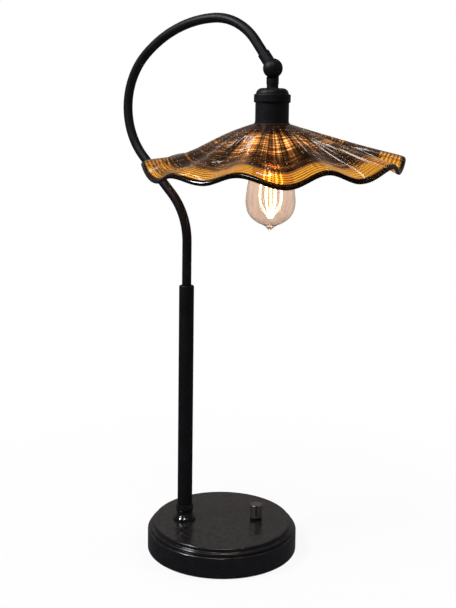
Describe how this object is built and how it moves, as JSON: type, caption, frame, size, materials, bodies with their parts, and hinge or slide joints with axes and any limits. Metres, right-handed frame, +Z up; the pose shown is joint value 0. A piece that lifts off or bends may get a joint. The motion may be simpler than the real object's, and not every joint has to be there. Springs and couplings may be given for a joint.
{
  "type": "table lamp",
  "caption": "Table lamp with a round weighted base, a turning S-bent arm, a tilting ball knuckle, a wavy amber and black glass shade, a pointed clear bulb and a dimmer knob.",
  "frame": {"origin": "centre of the round face that the base rests on", "axes": "+Z up, +X from the pole to the dimmer knob, -Y towards the viewer of the picture"},
  "size_m": [0.3615, 0.3421, 0.7152],
  "materials": {
    "black_satin": "satin black baked paint",
    "felt": "black felt",
    "iron": "rough cast",
    "zinc_steel": "zinc plated",
    "nickel": "polished dark nickel",
    "pointer_black": "paint in an engraved line",
    "brass": "rolled",
    "phenolic": "moulded black",
    "fibre": "vulcanised fibre",
    "rubber": "moulded",
    "shade_glass": "blown, amber with black threads",
    "clear_glass": "blown, clear with a warm tint",
    "black_glass": "fused black glass",
    "filament_wire": "glowing wire"
  },
  "bodies": {
    "base": {"felt_pad": "felt", "bottom_plate": "zinc_steel", "plate_screws": "zinc_steel", "base_weight": "iron", "base_shell": "black_satin", "cord_bushing": "rubber", "pole_nipple": "zinc_steel", "nipple_washer": "zinc_steel", "nipple_nut": "zinc_steel", "pole_foot": "black_satin", "pole": "black_satin", "pole_plug": "zinc_steel", "pole_bush": "black_satin", "swing_stop_screw": "zinc_steel", "switch_body": "phenolic", "switch_terminals": "brass", "switch_bushing": "brass", "switch_ring_nut": "black_satin", "base_lead": "rubber"},
    "arm": {"arm_tube": "black_satin", "arm_lead": "rubber", "swing_collar": "zinc_steel", "collar_set_screw": "zinc_steel", "swing_washer": "zinc_steel", "knuckle_arm_half": "black_satin", "shank_set_screw": "zinc_steel", "knuckle_screw": "zinc_steel", "knuckle_washer": "zinc_steel", "friction_disc": "fibre"},
    "head": {"knuckle_socket_half": "black_satin", "stem_coupler": "black_satin", "socket_nipple": "zinc_steel", "cap_nut": "zinc_steel", "socket_cap": "black_satin", "cap_ring": "black_satin", "socket_cup": "black_satin", "lamp_holder": "phenolic", "terminal_screws": "brass", "socket_shell": "brass", "socket_contact": "brass", "socket_lead": "rubber", "shade_gasket": "rubber", "glass_shade": "shade_glass", "shade_washer": "fibre", "shade_ring": "black_satin", "bulb_glass": "clear_glass", "bulb_cap": "brass", "bulb_insulator": "black_glass", "bulb_contact": "brass", "bulb_stem": "clear_glass", "bulb_supports": "zinc_steel", "filament": "filament_wire"},
    "knob": {"switch_knob": "nickel", "knob_pointer": "pointer_black", "switch_shaft": "zinc_steel", "knob_set_screw": "zinc_steel"}
  },
  "joints": [
    {"name": "arm_swing", "type": "hinge", "parent": "base", "child": "arm", "pos_m": [-0.051, 0, 0.338], "axis": [0, 0, 1], "range_deg": [-130, 130]},
    {"name": "head_tilt", "type": "hinge", "parent": "arm", "child": "head", "pos_m": [0.0557, -0.07471, 0.64359], "axis": [-0.5736, -0.8192, 0], "range_deg": [-35, 60]},
    {"name": "knob_turn", "type": "hinge", "parent": "base", "child": "knob", "pos_m": [0.0465, 0, 0.047], "axis": [0, 0, 1], "range_deg": [-150, 150]}
  ]
}
